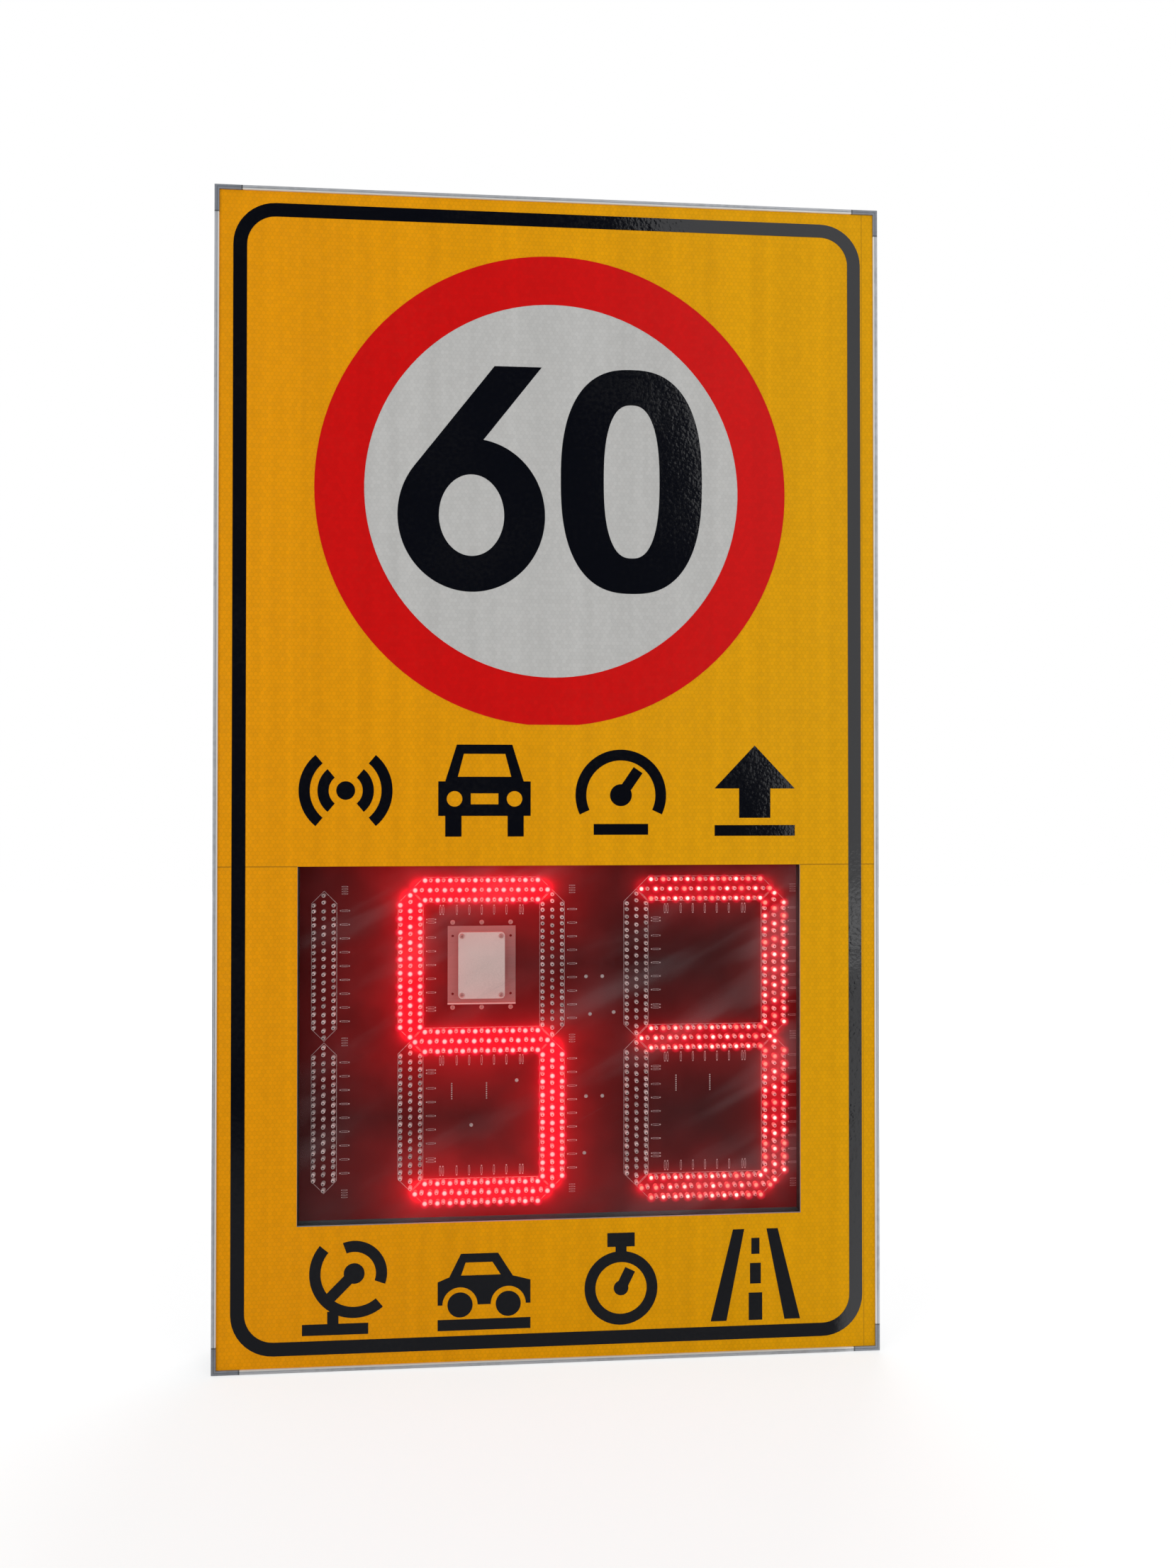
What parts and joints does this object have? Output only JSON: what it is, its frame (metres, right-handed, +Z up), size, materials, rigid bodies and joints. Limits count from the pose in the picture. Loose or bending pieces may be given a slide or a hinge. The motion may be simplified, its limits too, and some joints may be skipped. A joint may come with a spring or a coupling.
{
  "type": "radar speed sign",
  "caption": "Upright roadside speed sign: yellow reflective front with a red limit ring above a window whose lamps show a passing car's speed, in a flat aluminium case with pole rails.",
  "frame": {"origin": "centre of the four slots on the outer face of the pole rails, level with the middle of the sign", "axes": "+X to the viewer's right, +Y from the front into the sign and out at its back, +Z up"},
  "size_m": [0.8, 0.122, 1.4],
  "materials": {
    "frame_aluminium": "satin extruded, weathered",
    "corner_metal": "cast, a little darker than the rails",
    "panel_aluminium": "mill finish sheet",
    "yellow_sheeting": "retroreflective sheeting with fine honeycomb cells",
    "white_sheeting": "retroreflective sheeting with fine honeycomb cells",
    "red_sheeting": "transparent red film over reflective sheeting",
    "black_vinyl": "glossy film with slight orange peel",
    "black_rubber": "matt",
    "clear_pane": "clear acrylic sheet",
    "display_laminate": "dark red solder mask",
    "lamp_lit": "lit clear lamp",
    "lamp_unlit": "clear lamp, not lit",
    "zinc_steel": "zinc plated",
    "galvanised_steel": "galvanised sheet",
    "white_plastic": "moulded, smooth",
    "black_plastic": "moulded, fine grain",
    "green_laminate": "green solder mask"
  },
  "bodies": {
    "root": {"frame_rail_top": "frame_aluminium", "frame_rail_bottom": "frame_aluminium", "frame_rail_left": "frame_aluminium", "frame_rail_right": "frame_aluminium", "corner_block_top_left": "corner_metal", "corner_block_top_right": "corner_metal", "corner_block_bottom_left": "corner_metal", "corner_block_bottom_right": "corner_metal", "front_panel": "panel_aluminium", "rear_panel": "panel_aluminium", "radar_plate": "panel_aluminium", "window_sill": "panel_aluminium", "gear_plate": "panel_aluminium", "yellow_sheeting": "yellow_sheeting", "limit_disc": "white_sheeting", "limit_ring": "red_sheeting", "border_line": "black_vinyl", "numeral_six": "black_vinyl", "numeral_zero": "black_vinyl", "upper_legend_marks": "black_vinyl", "lower_legend_marks": "black_vinyl", "window_gasket": "black_rubber", "shroud_strips": "black_rubber", "rear_seal": "black_rubber", "gear_leads": "black_rubber", "display_lead": "black_rubber", "window_pane": "clear_pane", "display_board": "display_laminate", "lamps_tens_lit": "lamp_lit", "lamps_units_lit": "lamp_lit", "lamps_hundreds_unlit": "lamp_unlit", "lamps_tens_unlit": "lamp_unlit", "lamps_units_unlit": "lamp_unlit", "board_spacers": "zinc_steel", "board_screws": "zinc_steel", "radar_cover_screws": "zinc_steel", "radar_lid": "zinc_steel", "radar_lid_screws": "zinc_steel", "radar_lid_nuts": "zinc_steel", "gear_spacers": "zinc_steel", "gear_screws": "zinc_steel", "power_supply": "zinc_steel", "rear_panel_screws": "zinc_steel", "mounting_rail_bolts": "zinc_steel", "mounting_rail_upper": "galvanised_steel", "mounting_rail_lower": "galvanised_steel", "radar_cover": "white_plastic", "gland_body": "black_plastic", "gland_cap": "black_plastic", "gland_nut": "black_plastic", "power_supply_terminals": "black_plastic", "driver_chips": "black_plastic", "display_socket": "black_plastic", "control_board_parts": "black_plastic", "control_board_feet": "black_plastic", "mains_terminal_block": "black_plastic", "control_board": "green_laminate", "antenna_board": "green_laminate"}
  },
  "joints": []
}
